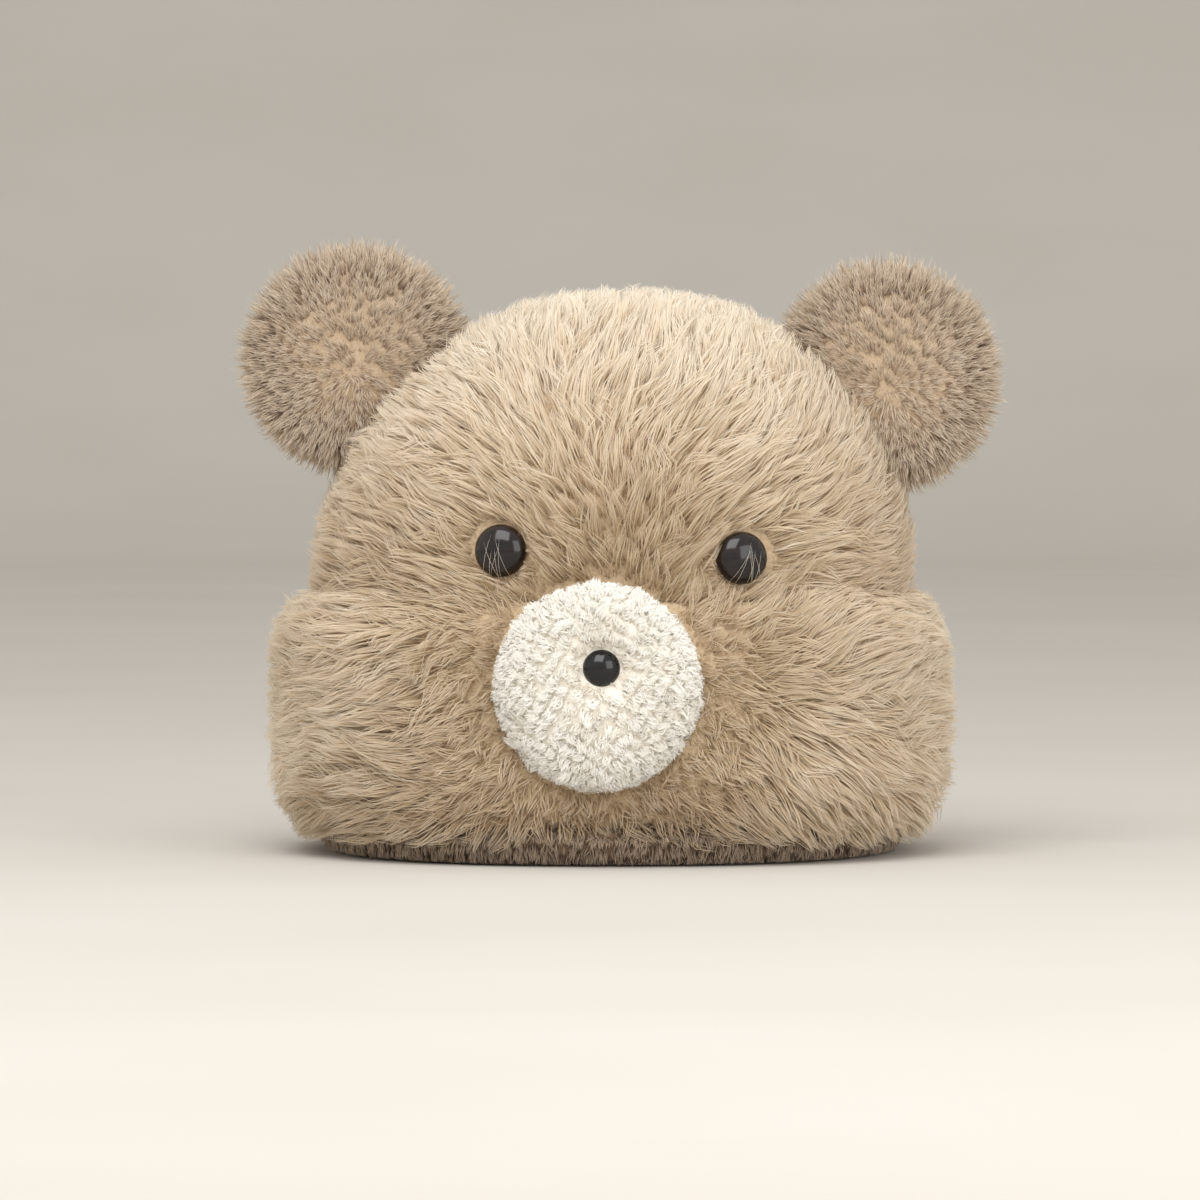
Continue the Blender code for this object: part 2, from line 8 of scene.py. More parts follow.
import bmesh
import bpy
import numpy as np
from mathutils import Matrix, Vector

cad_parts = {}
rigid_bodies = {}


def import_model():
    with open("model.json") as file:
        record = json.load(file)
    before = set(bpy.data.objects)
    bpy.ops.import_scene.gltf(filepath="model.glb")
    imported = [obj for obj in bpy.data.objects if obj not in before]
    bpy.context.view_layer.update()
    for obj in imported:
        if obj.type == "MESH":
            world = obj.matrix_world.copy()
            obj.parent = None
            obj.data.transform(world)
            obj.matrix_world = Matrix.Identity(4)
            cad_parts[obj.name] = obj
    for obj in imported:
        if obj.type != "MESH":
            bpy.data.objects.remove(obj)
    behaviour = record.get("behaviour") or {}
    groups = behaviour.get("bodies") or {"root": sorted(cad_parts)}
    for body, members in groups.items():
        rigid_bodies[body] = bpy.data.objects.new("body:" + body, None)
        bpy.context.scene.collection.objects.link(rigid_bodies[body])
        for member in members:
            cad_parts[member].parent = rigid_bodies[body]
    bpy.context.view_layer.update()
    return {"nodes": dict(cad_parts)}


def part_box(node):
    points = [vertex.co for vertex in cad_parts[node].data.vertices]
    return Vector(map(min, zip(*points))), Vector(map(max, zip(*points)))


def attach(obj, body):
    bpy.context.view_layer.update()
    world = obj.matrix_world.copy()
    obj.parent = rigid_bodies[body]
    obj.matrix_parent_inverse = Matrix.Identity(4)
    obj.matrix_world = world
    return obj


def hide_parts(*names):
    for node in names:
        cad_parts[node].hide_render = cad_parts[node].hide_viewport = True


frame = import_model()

draws = np.random.default_rng(20)

# Sizes read from the frame
boxes = {name: [np.array(corner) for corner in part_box(name)] for name in frame["nodes"]}
side_low, side_high = boxes["crown_side"]
AXIS = (side_low + side_high)[:2] / 2
HALF_WIDTH, HALF_DEPTH = (side_high - side_low)[:2] / 2
CROWN_FOOT = side_low[2]
SPRING_LINE, CROWN_TOP = boxes["crown_top"][0][2], boxes["crown_top"][1][2]
DOME_RISE = CROWN_TOP - SPRING_LINE
CUFF_FOOT, CUFF_TOP = boxes["cuff"][0][2], boxes["cuff"][1][2]
CUFF_SPAN = CUFF_TOP - CUFF_FOOT
CUFF_PAD = (boxes["cuff"][1][0] - boxes["cuff"][0][0]) / 2 - HALF_WIDTH
RIM_HEIGHT = boxes["rim_band"][1][2]
MUZZLE_MIDDLE = (boxes["muzzle"][0] + boxes["muzzle"][1]) / 2
MUZZLE_RADIUS = (boxes["muzzle"][1][2] - boxes["muzzle"][0][2]) / 2
NOSE_MIDDLE = (boxes["nose"][0] + boxes["nose"][1]) / 2
NOSE_RADIUS = (boxes["nose"][1][2] - boxes["nose"][0][2]) / 2

# Forms that the frame does not give: the crown's ovals, lean and wall, and the stuffed and turned pieces
SECTION_POWER = 2.2
DOME_POWER = 2.1
DOME_LEAN = 0.0055
CROWN_WALL = 0.0030
EAR_PILE = 0.0056
EAR_HALF_THICKNESS = 0.0130
EAR_FULLNESS = 0.8
MUZZLE_EDGE = 0.0040
MUZZLE_BULGE = 0.0115
MUZZLE_FULLNESS = 0.7
DIMPLE_RADIUS = 0.0085
DIMPLE_DEPTH = 0.0040
NOSE_HALF_DEPTH = 0.0054
NOSE_SHANK = 0.0018
EYE_RADIUS = 0.0092
EYE_DOME = 0.0056
EYE_EDGE = 0.0016
EYE_SHANK = 0.0020
EYE_STAND_OFF = 0.0035
MAT_INSIDE = 0.0004
MAT_OUTSIDE = 0.0030

# Fibre widths as drawn. Real ones are about 0.05 mm, too fine to show, so each stands for a strand of them
LONG_STRAND = 0.00052
UNDERFUR_STRAND = 0.00065
EAR_STRAND = 0.00036
RIM_STRAND = 0.00060
FLEECE_STRAND = 0.00080
LOOSE_HAIR = 0.00013

# Lengths of the pile, along the surface (lie) and off it (rise)
CROWN_LIE = 0.0185
CROWN_RISE = 0.0108
CUFF_LIE_BY_MUZZLE = 0.0085
CUFF_LIE = 0.0200
CUFF_RISE = 0.0075
FRINGE_END = 0.0125
EAR_LIE = 0.0050
EAR_RISE = 0.0040
RIM_LIE = 0.0045
RIM_RISE = 0.0030
FLEECE_LIE = 0.0040
FLEECE_RISE = 0.0026

# How the photo was taken: its scale, where the face's middle and the hat's foot are in it, and a long lens
PIXEL = 0.000354
PHOTO_PIXELS = 1200
FACE_MIDDLE_PIXEL = 621
FOOT_PIXEL = 856
FACE_PLANE = -0.03
LENS_MM = 220
SENSOR_MM = 36
ELEVATION_DEG = 2.0

# The cuff's section as in the model's source: height share, padding share
CUFF_SECTION = np.array(
    [
        (0.000, 0.16),
        (0.060, 0.50),
        (0.135, 0.80),
        (0.255, 1.00),
        (0.545, 1.00),
        (0.690, 0.97),
        (0.820, 0.86),
        (0.925, 0.62),
        (1.000, 0.22),
    ]
)

# The rim's section as in the model's source: offset from the crown's outer face in metres, height share
RIM_SECTION = np.array(
    [
        (-0.0140, 0.00),
        (-0.0060, 0.00),
        (-0.0008, 0.15),
        (0.0028, 0.40),
        (0.0054, 0.72),
        (0.0050, 0.97),
        (0.0004, 1.00),
        (-0.0080, 1.00),
        (-0.0132, 0.62),
    ]
)
RIM_OUTER = RIM_SECTION[1:7]

UP = np.array([0.0, 0.0, 1.0])
FRONT = np.array([0.0, -1.0, 0.0])


def unit(vectors):
    return vectors / (np.linalg.norm(vectors, axis=-1, keepdims=True) + 1e-12)


def dot(a, b):
    return (a * b).sum(axis=-1, keepdims=True)


def signed_power(values, power):
    return np.sign(values) * np.abs(values) ** power


def smoothstep(low, high, values):
    share = np.clip((values - low) / (high - low), 0, 1)
    return share * share * (3 - 2 * share)


def oval(turn, half_width, half_depth):
    """A superellipse: x goes with the sine and y with the cosine of the turn, each to the power 2 over
    n."""
    across = AXIS[0] + half_width * signed_power(np.sin(turn), 2 / SECTION_POWER)
    along = AXIS[1] - half_depth * signed_power(np.cos(turn), 2 / SECTION_POWER)
    return across, along


def crown_surface(directions, offset):
    """The crown from unit directions: over the spring line its oval shrinks as a superellipse while it
    rises, and under it the wall goes straight down."""
    turn = np.arctan2(directions[:, 0], -directions[:, 1])
    climb = np.arcsin(np.clip(directions[:, 2], 0, 1))
    level = np.cos(climb) ** (2 / DOME_POWER)
    height = np.sin(climb) ** (2 / DOME_POWER)
    x, y = oval(turn, (HALF_WIDTH + offset) * level, (HALF_DEPTH + offset) * level)
    z = SPRING_LINE + (DOME_RISE + offset) * height + DOME_RISE * np.minimum(directions[:, 2], 0)
    return np.stack([x + DOME_LEAN * height, y, z], axis=1)


def crown_share(points, offset):
    """Each point's distance from the middle of the spring line as a share of the way to the offset
    crown's face. The dome is a superellipse in every direction, so points divided by their share lie on
    it."""
    height = np.maximum(points[:, 2] - SPRING_LINE, 0) / (DOME_RISE + offset)
    x = np.abs(points[:, 0] - AXIS[0] - DOME_LEAN * height) / (HALF_WIDTH + offset)
    y = np.abs(points[:, 1] - AXIS[1]) / (HALF_DEPTH + offset)
    level = (x**SECTION_POWER + y**SECTION_POWER) ** (1 / SECTION_POWER)
    return (level**DOME_POWER + height**DOME_POWER) ** (1 / DOME_POWER)


def section_surface(section, places, foot, span):
    """A belt round the crown from pairs of turn and share along a section table of offset and height
    share."""
    share = np.clip(places[:, 1], 0, 1) * (len(section) - 1)
    offset = np.interp(share, np.arange(len(section)), section[:, 0])
    height = np.interp(share, np.arange(len(section)), section[:, 1])
    x, y = oval(places[:, 0], HALF_WIDTH + offset, HALF_DEPTH + offset)
    return x, y, foot + height * span, offset


def cuff_surface(places, offset):
    """The cuff's belt from pairs of turn and height share: its section's padding carried round the
    oval."""
    share = np.clip(places[:, 1], 0, 1)
    padding = np.interp(share, CUFF_SECTION[:, 0], CUFF_SECTION[:, 1]) * CUFF_PAD + offset
    x, y = oval(places[:, 0], HALF_WIDTH + padding, HALF_DEPTH + padding)
    return np.stack([x, y, CUFF_FOOT + share * CUFF_SPAN], axis=1)


def rim_surface(places, offset):
    """The rim's outer roll from pairs of turn and share along its section, moved outwards by an
    offset."""
    x, y, z, own = section_surface(RIM_OUTER, places, 0, RIM_HEIGHT)
    x, y = oval(places[:, 0], HALF_WIDTH + own + offset, HALF_DEPTH + own + offset)
    return np.stack([x, y, z], axis=1)


def ear_surface(middle, radius):
    """A stuffed disc from unit directions: round from the front, its thickness a power of the forward
    share."""

    def surface(directions, offset):
        thick = (EAR_HALF_THICKNESS + offset) * signed_power(directions[:, 1], EAR_FULLNESS)
        reach = radius + offset
        return middle + np.stack([directions[:, 0] * reach, thick, directions[:, 2] * reach], axis=1)

    return surface


def muzzle_surface(directions, offset):
    """The padded disc on the cuff from unit directions: it follows the cuff's oval, bulges as a power of
    the forward share, and has a round dimple where the nose is sunk."""
    reach = MUZZLE_RADIUS - 0.0012 + offset
    x = MUZZLE_MIDDLE[0] + directions[:, 0] * reach
    z = MUZZLE_MIDDLE[2] + directions[:, 2] * reach
    share = np.clip(np.abs(x - AXIS[0]) / (HALF_WIDTH + CUFF_PAD), 0, 1)
    oval_reach = (HALF_DEPTH + CUFF_PAD) * (1 - share**SECTION_POWER) ** (1 / SECTION_POWER)
    forward = -directions[:, 1]
    bulge = np.where(forward > 0, MUZZLE_BULGE + offset, MUZZLE_EDGE - 0.0004)
    stand = MUZZLE_EDGE + bulge * signed_power(forward, MUZZLE_FULLNESS)
    from_nose = np.hypot(x - NOSE_MIDDLE[0], z - NOSE_MIDDLE[2])
    stand = stand - np.where(forward > 0, DIMPLE_DEPTH * np.exp(-((from_nose / DIMPLE_RADIUS) ** 2)), 0)
    return np.stack([x, AXIS[1] - oval_reach - stand, z], axis=1)


def moved_directions(directions, across, along, radius):
    """Unit directions moved by two distances in metres over a ball of the given radius."""
    first = unit(np.cross(directions, [0.013, 0.021, 1.0]))
    second = np.cross(directions, first)
    return unit(directions + (across[:, None] * first + along[:, None] * second) / radius)


def moved_places(span):
    """A mover of belt places by two distances in metres, round and up, for a belt whose section is this
    long."""

    def move(places, across, along, radius):
        return np.stack([places[:, 0] + across / radius, places[:, 1] + along / span], axis=1)

    return move


def spiral(count, lowest):
    """Unit directions evenly spread on a golden angle spiral, from the top down to the lowest height."""
    order = np.arange(count)
    height = 1 - (order + 0.5) / count * (1 - lowest)
    turn = order * math.pi * (3 - math.sqrt(5))
    level = np.sqrt(1 - height**2)
    return np.stack([level * np.cos(turn), level * np.sin(turn), height], axis=1)


def belt(turns, rises, low=0.0, high=1.0):
    """Pairs of turn and share on a staggered grid round a belt."""
    shares = low + (np.arange(rises) + 0.5) / rises * (high - low)
    turn, rise = np.meshgrid(np.arange(turns) / turns * 2 * math.pi, shares)
    turn = turn + (np.arange(rises) % 2)[:, None] * math.pi / turns
    return np.stack([turn.ravel(), rise.ravel()], axis=1)


def surface_frame(surface, move, places, radius):
    """Points and outward normals of a surface at places, the normals from two small steps along it."""
    step = np.full(len(places), 2e-4)
    still = np.zeros(len(places))
    points = surface(places, 0.0)
    first = surface(move(places, step, still, radius), 0.0) - points
    second = surface(move(places, still, step, radius), 0.0) - points
    outward = surface(places, 1e-3) - points
    normals = unit(np.cross(first, second))
    return points, normals * np.sign(dot(normals, outward))


def turned_about(vectors, normals, angles):
    """Tangent vectors turned about their normals."""
    return vectors * np.cos(angles)[:, None] + np.cross(normals, vectors) * np.sin(angles)[:, None]


def along_surface(vectors, normals):
    return unit(vectors - dot(vectors, normals) * normals)


def guide_curves(points, normals, comb, run, rise, shares):
    """A fibre's path: it rises off the surface fast and then lies along the comb direction."""
    lift = 1 - (1 - shares) ** 1.9
    slide = shares**1.3
    return (
        points[:, None]
        + normals[:, None] * rise[:, None, None] * lift[None, :, None]
        + comb[:, None] * run[:, None, None] * slide[None, :, None]
    )


def grow_pile(coat):
    """Fibres in wisps in locks. Each level has roots scattered round those of the level above and its own
    path, and toward their tips the fibres are drawn to their wisp's path, and the wisps to their
    lock's."""
    shares = np.linspace(0, 1, coat["segments"] + 1)
    places = coat["places"]
    levels = []
    for (count, scatter, stray), (share, factor) in zip(coat["levels"], coat["longer"]):
        parent = np.repeat(np.arange(len(places)), count)
        angle = draws.uniform(0, 2 * math.pi, len(parent))
        distance = np.sqrt(draws.uniform(0, 1, len(parent))) * scatter
        across, along = np.cos(angle) * distance, np.sin(angle) * distance
        places = coat["move"](places[parent], across, along, coat["radius"])
        points, normals = surface_frame(coat["surface"], coat["move"], places, coat["radius"])
        style = coat["style"](points, normals)
        comb = turned_about(style["comb"], normals, draws.normal(0, stray, len(places)))
        size = draws.uniform(1 - coat["uneven"], 1, len(places))
        size = np.where(draws.uniform(0, 1, len(places)) < share, size * factor, size)
        curves = guide_curves(points, normals, comb, style["run"] * size, style["rise"] * size, shares)
        tone = draws.normal(0, 1, len(places))
        levels.append({"parent": parent, "curves": curves, "normals": normals, "tone": tone, "style": style})
    lock, wisp, fibre = levels
    lock_of_wisp = wisp["parent"]
    pull_lock = coat["lock_pull"] * shares**1.4
    pull_wisp = coat["wisp_pull"] * shares**1.1
    wisps = wisp["curves"] + (lock["curves"][lock_of_wisp] - wisp["curves"]) * pull_lock[None, :, None]
    own = fibre["parent"]
    paths = fibre["curves"] + (wisps[own] - fibre["curves"]) * pull_wisp[None, :, None]
    paths = paths + draws.normal(0, coat["frizz"], paths.shape) * (shares * (1.3 - shares))[None, :, None]
    paths[..., 2] = np.maximum(paths[..., 2], coat["floor"])
    tone = fibre["style"]["tone"] + coat["tones"][0] * lock["tone"][lock_of_wisp][own]
    tone = tone + coat["tones"][1] * wisp["tone"][own] + coat["tones"][2] * fibre["tone"]
    keep = fibre["style"]["keep"] & (np.linalg.norm(paths[:, -1] - paths[:, 0], axis=1) > 1e-3)
    return paths[keep], fibre["normals"][keep], np.clip(tone[keep], 0.02, 0.98)


def ribbon_arrays(paths, normals, tone, width, roll):
    """Flat fibres: each path gets a left and a right point at every step but the last, which is one tip.
    The faces look away from the surface, rolled a little at random. Corner normals lean to the surface's
    own normal."""
    count, steps = paths.shape[:2]
    along = unit(np.gradient(paths, axis=1))
    facing = np.broadcast_to(normals[:, None], paths.shape)
    side = unit(np.cross(along, facing))
    proud = unit(np.cross(side, along))
    angle = draws.uniform(-roll, roll, (count, 1, 1))
    side, proud = side * np.cos(angle) + proud * np.sin(angle), proud * np.cos(angle) - side * np.sin(angle)
    shade = unit(along_surface(facing, along) * 0.75 + proud * 0.25 + facing * 0.25)
    shares = np.linspace(0, 1, steps)
    spread = side[:, :-1] * (width / 2 * (1 - 0.72 * shares[:-1] ** 1.5))[None, :, None]
    each = 2 * steps - 1
    map_half_width = 0.008
    points, shades, uv = np.empty((count, each, 3)), np.empty((count, each, 3)), np.empty((count, each, 2))
    left, right = np.s_[:, 0:-1:2], np.s_[:, 1:-1:2]
    points[left] = paths[:, :-1] - spread
    points[right] = paths[:, :-1] + spread
    points[:, -1] = paths[:, -1]
    shades[left] = shades[right] = shade[:, :-1]
    shades[:, -1] = shade[:, -1]
    uv[left][..., 0] = tone[:, None] - map_half_width
    uv[right][..., 0] = tone[:, None] + map_half_width
    uv[left][..., 1] = uv[right][..., 1] = shares[None, :-1]
    uv[:, -1, 0] = tone
    uv[:, -1, 1] = 1
    quads = [[2 * step, 2 * step + 1, 2 * step + 3, 2 * step + 2] for step in range(steps - 2)]
    tip = [each - 3, each - 2, each - 1]
    corners = (np.arange(count)[:, None] * each + np.concatenate([*quads, tip])).ravel()
    sizes = np.tile([4] * (steps - 2) + [3], count)
    return points.reshape(-1, 3), corners, sizes, uv.reshape(-1, 2), shades.reshape(-1, 3)


def pile_piece(name, coat, finish, width, roll=0.9):
    piece = array_mesh(name, *ribbon_arrays(*grow_pile(coat), width, roll))
    piece.data.materials.append(finish)
    return piece


def array_mesh(name, points, corners, sizes, uv=None, shades=None):
    """A mesh object straight from arrays of points, corner indices and face sizes."""
    mesh = bpy.data.meshes.new(name)
    mesh.vertices.add(len(points))
    mesh.vertices.foreach_set("co", np.ascontiguousarray(points, np.float32).ravel())
    mesh.loops.add(len(corners))
    mesh.loops.foreach_set("vertex_index", np.ascontiguousarray(corners, np.int32))
    mesh.polygons.add(len(sizes))
    mesh.polygons.foreach_set("loop_start", np.concatenate([[0], np.cumsum(sizes)[:-1]]).astype(np.int32))
    mesh.update(calc_edges=True)
    mesh.shade_smooth()
    if uv is not None:
        layer = mesh.uv_layers.new(name="OFBake")
        layer.uv.foreach_set("vector", np.ascontiguousarray(uv[corners], np.float32).ravel())
    if shades is not None:
        mesh.normals_split_custom_set_from_vertices(shades.tolist())
    obj = bpy.data.objects.new(name, mesh)
    bpy.context.scene.collection.objects.link(obj)
    return obj


def skin(name, rows, finish, closed_rows=False):
    """A closed skin over a stack of rows, each closed round. Rows that are one point make a pole, and
    closed rows join the last one to the first. Points that coincide are merged and the faces are turned
    outwards."""
    count, columns = rows.shape[:2]
    index = np.arange(count * columns).reshape(count, columns)
    below = index if closed_rows else index[:-1]
    above = np.roll(index, -1, axis=0) if closed_rows else index[1:]
    next_below, next_above = np.roll(below, -1, axis=1), np.roll(above, -1, axis=1)
    corners = np.stack([below, next_below, next_above, above], axis=-1).reshape(-1)
    obj = array_mesh(name, rows.reshape(-1, 3), corners, np.full(len(corners) // 4, 4))
    shape = bmesh.new()
    shape.from_mesh(obj.data)
    bmesh.ops.remove_doubles(shape, verts=shape.verts, dist=1e-6)
    bmesh.ops.recalc_face_normals(shape, faces=shape.faces)
    shape.to_mesh(obj.data)
    shape.free()
    obj.data.materials.append(finish)
    return obj


def ball_rows(sides, steps):
    """Unit directions in rows from one pole to the other, the poles front and back."""
    turn, polar = np.meshgrid(np.arange(sides) / sides * 2 * math.pi, np.linspace(0, math.pi, steps))
    return np.stack([np.sin(polar) * np.cos(turn), -np.cos(polar), np.sin(polar) * np.sin(turn)], axis=-1)


def over_rows(surface, rows, offset):
    return surface(rows.reshape(-1, rows.shape[-1]), offset).reshape(*rows.shape[:2], 3)


def crown_rows(sides, lowest, steps, dome_steps):
    """Unit directions for the crown in level rows: down the wall to a height share under the spring line,
    then over the dome to its pole."""
    turn = np.arange(sides) / sides * 2 * math.pi
    dome = np.sin(np.linspace(0, math.pi / 2, dome_steps))
    heights = np.concatenate([np.linspace(lowest, 0, steps)[:-1], dome])
    level = np.sqrt(1 - np.clip(heights, 0, 1) ** 2)
    flat = np.stack([np.sin(turn), -np.cos(turn)], axis=-1)
    rows = np.empty((len(heights), sides, 3))
    rows[..., :2] = flat[None] * np.where(heights < 0, 1, level)[:, None, None]
    rows[..., 2] = heights[:, None]
    return rows


def turned(name, profile, place, direction, sides, finish):
    """A profile of radii and distances turned about an axis that starts at place and points along
    direction."""
    turn = np.arange(sides) / sides * 2 * math.pi
    radii, heights = np.array(profile).T
    rows = np.stack(
        [
            radii[:, None] * np.cos(turn),
            radii[:, None] * np.sin(turn),
            np.broadcast_to(heights[:, None], (len(radii), sides)),
        ],
        axis=-1,
    )
    facing = np.array(Vector(direction).to_track_quat("Z", "Y").to_matrix())
    return skin(name, rows @ facing.T + np.array(place), finish)


def linear(hex_colour):
    """An sRGB hex colour as linear red, green, blue and alpha."""
    channels = [int(hex_colour[i : i + 2], 16) / 255 for i in (1, 3, 5)]
    return (*[c / 12.92 if c <= 0.04045 else ((c + 0.055) / 1.055) ** 2.4 for c in channels], 1)


def node(tree, kind, settings=(), **links):
    """Adds a node, sets its properties, and links or sets its inputs. An input is named, or numbered as
    i0."""
    made = tree.nodes.new(kind)
    for key, value in dict(settings).items():
        setattr(made, key, value)
    for key, value in links.items():
        numbered = key[0] == "i" and key[1:].isdigit()
        socket = made.inputs[int(key[1:]) if numbered else key.replace("_", " ")]
        if isinstance(value, bpy.types.NodeSocket):
            tree.links.new(value, socket)
        else:
            socket.default_value = value
    return made


def ramp(tree, factor, stops):
    """A colour ramp with stops of position and hex colour."""
    made = node(tree, "ShaderNodeValToRGB", i0=factor)
    elements = made.color_ramp.elements
    while len(elements) < len(stops):
        elements.new(0.5)
    for element, (position, colour) in zip(elements, stops):
        element.position = position
        element.color = linear(colour)
    return made.outputs["Color"]


def new_material(name):
    made = bpy.data.materials.new(name)
    made.use_nodes = True
    made.node_tree.nodes.clear()
    return made, made.node_tree


def finish_material(tree, through=0.0, **sockets):
    """Ends a material in a Principled shader. Through is the share of light that passes a thin fibre from
    behind."""
    surface = node(tree, "ShaderNodeBsdfPrincipled", **sockets).outputs["BSDF"]
    if through:
        behind = node(tree, "ShaderNodeBsdfTranslucent", Color=sockets["Base_Color"])
        mixed = node(tree, "ShaderNodeMixShader", i0=through, i1=surface, i2=behind.outputs["BSDF"])
        surface = mixed.outputs["Shader"]
    output = node(tree, "ShaderNodeOutputMaterial")
    tree.links.new(surface, output.inputs["Surface"])


def pile_material(name, tones, root, root_share, tip, roughness):
    """Acrylic pile, which gives the eye soft silky strands: the strand's tone comes from the map's first
    number. Along the second it is darker at the root, where fibres shade each other, and paler at the
    tip, where light passes."""
    made, tree = new_material(name)
    uv = node(tree, "ShaderNodeUVMap", {"uv_map": "OFBake"})
    parts = node(tree, "ShaderNodeSeparateXYZ", i0=uv.outputs["UV"])
    body = ramp(tree, parts.outputs["X"], tones)
    smooth, colour = {"interpolation_type": "SMOOTHSTEP"}, {"data_type": "RGBA"}
    rooted = node(tree, "ShaderNodeMapRange", smooth, Value=parts.outputs["Y"], From_Max=root_share)
    shaded = node(tree, "ShaderNodeMix", colour, i0=rooted.outputs[0], i6=linear(root), i7=body)
    tipped = node(tree, "ShaderNodeMapRange", Value=parts.outputs["Y"], From_Min=0.55, To_Max=0.45)
    paled = node(tree, "ShaderNodeMix", colour, i0=tipped.outputs[0], i6=shaded.outputs[2], i7=linear(tip))
    finish_material(
        tree,
        through=0.36,
        Base_Color=paled.outputs[2],
        Roughness=roughness,
        Specular_IOR_Level=0.3,
        Sheen_Weight=0.3,
        Sheen_Roughness=0.4,
    )
    return made


def mottled_material(name, dark, pale, size_mm, roughness, bump_mm):
    """Dense short underfur or fleece seen between longer fibres: a fine mottle, matt."""
    made, tree = new_material(name)
    place = node(tree, "ShaderNodeTexCoord")
    noise = node(tree, "ShaderNodeTexNoise", i0=place.outputs["Object"], Scale=1000 / size_mm, Detail=4.0)
    tint = ramp(tree, noise.outputs["Fac"], [(0.3, dark), (0.7, pale)])
    raised = node(tree, "ShaderNodeBump", Distance=bump_mm / 1000, Height=noise.outputs["Fac"], Strength=0.8)
    finish_material(
        tree,
        Base_Color=tint,
        Roughness=roughness,
        Normal=raised.outputs[0],
        Sheen_Weight=0.3,
        Specular_IOR_Level=0.2,
    )
    return made


def knitted_material(name, dark, pale, stitch_mm):
    """Knitted ground cloth, which gives the eye fine rows of stitches: two crossed waves in the cloth's
    own height and depth directions."""
    made, tree = new_material(name)
    place = node(tree, "ShaderNodeTexCoord").outputs["Object"]
    scale = 1000 / stitch_mm / 20
    rows, wales = (
        node(tree, "ShaderNodeTexWave", {"bands_direction": way}, i0=place, Scale=scale, Distortion=1.2)
        for way in ("Z", "X")
    )
    product = {"operation": "MULTIPLY"}
    weave = node(tree, "ShaderNodeMath", product, i0=rows.outputs["Fac"], i1=wales.outputs["Fac"])
    tint = ramp(tree, weave.outputs[0], [(0.0, dark), (0.8, pale)])
    raised = node(tree, "ShaderNodeBump", Distance=0.0004, Height=weave.outputs[0], Strength=0.6)
    finish_material(tree, Base_Color=tint, Roughness=0.92, Normal=raised.outputs[0], Specular_IOR_Level=0.2)
    return made


def gloss_material(name, dark, pale):
    """Polished acrylic button, which gives the eye a near black dome with a soft reflection: a slightly
    clouded body under a smooth face."""
    made, tree = new_material(name)
    place = node(tree, "ShaderNodeTexCoord")
    cloud = node(tree, "ShaderNodeTexNoise", i0=place.outputs["Object"], Scale=260.0, Detail=2.0)
    tint = ramp(tree, cloud.outputs["Fac"], [(0.35, dark), (0.7, pale)])
    finish_material(tree, Base_Color=tint, Roughness=0.14, Specular_IOR_Level=0.5)
    return made


def stop_short(points, comb, run, middle, radius, overlap):
    """Shortens the fibres over the face that would lie across a disc in the plane of the face, so that
    they end at its edge, a little over it."""
    aside, above = points[:, 0] - middle[0], points[:, 2] - middle[2]
    across, up = comb[:, 0], comb[:, 2]
    length = np.hypot(across, up) + 1e-9
    ahead = -(aside * across + above * up) / length
    miss = np.abs(aside * up - above * across) / length
    entry = (ahead - np.sqrt(np.maximum(radius**2 - miss**2, 0))) / length + overlap
    hit = (miss < radius) & (ahead > 0) & (points[:, 1] < AXIS[1])
    return np.where(hit, np.minimum(run, np.maximum(entry, 0.002)), run)


def face_distance(points, middle):
    """How far points lie from a place in the plane of the face. Points at the back are far away."""
    away = np.hypot(points[:, 0] - middle[0], points[:, 2] - middle[2])
    return np.where(points[:, 1] < AXIS[1], away, 1.0)


def eye_frame(side):
    """An eye's place on the crown's face and its direction, square to the oval wall there."""
    middle = (boxes["eye_" + side][0] + boxes["eye_" + side][1]) / 2
    x, y = (middle[0] - AXIS[0]) / HALF_WIDTH, (middle[1] - AXIS[1]) / HALF_DEPTH
    across = signed_power(x, SECTION_POWER - 1) / HALF_WIDTH
    along = signed_power(y, SECTION_POWER - 1) / HALF_DEPTH
    direction = unit(np.array([across, along, 0.0]))
    depth = EYE_STAND_OFF + EYE_EDGE + EYE_DOME
    return middle - direction * depth / 2, direction


EYES = {side: eye_frame(side) for side in ("left", "right")}

EARS = {}
for side, sign in (("left", -1), ("right", 1)):
    low, high = boxes["ear_" + side]
    reach = (high[2] - low[2]) / 2
    outer = low[0] if sign < 0 else high[0]
    middle = np.array([outer - sign * reach, (low[1] + high[1]) / 2, (low[2] + high[2]) / 2])
    EARS[side] = (middle, reach - EAR_PILE)


def inside_ear(points):
    """Whether points lie inside either ear's stuffed disc."""
    inside = np.zeros(len(points), bool)
    for middle, radius in EARS.values():
        local = (points - middle) / [radius, EAR_HALF_THICKNESS, radius]
        inside |= (local**2).sum(axis=1) < 1
    return inside


def brushed_away(points, normals):
    """Directions along the surface away from the muzzle, as the whole hat is brushed: up over the brow
    and out over the sides. Behind the middle they turn down."""
    away = unit(points - MUZZLE_MIDDLE - UP * 0.006)
    behind = smoothstep(-0.01, 0.055, points[:, 1] - AXIS[1])[:, None]
    return along_surface(away * (1 - behind) - UP * behind * 1.3, normals)


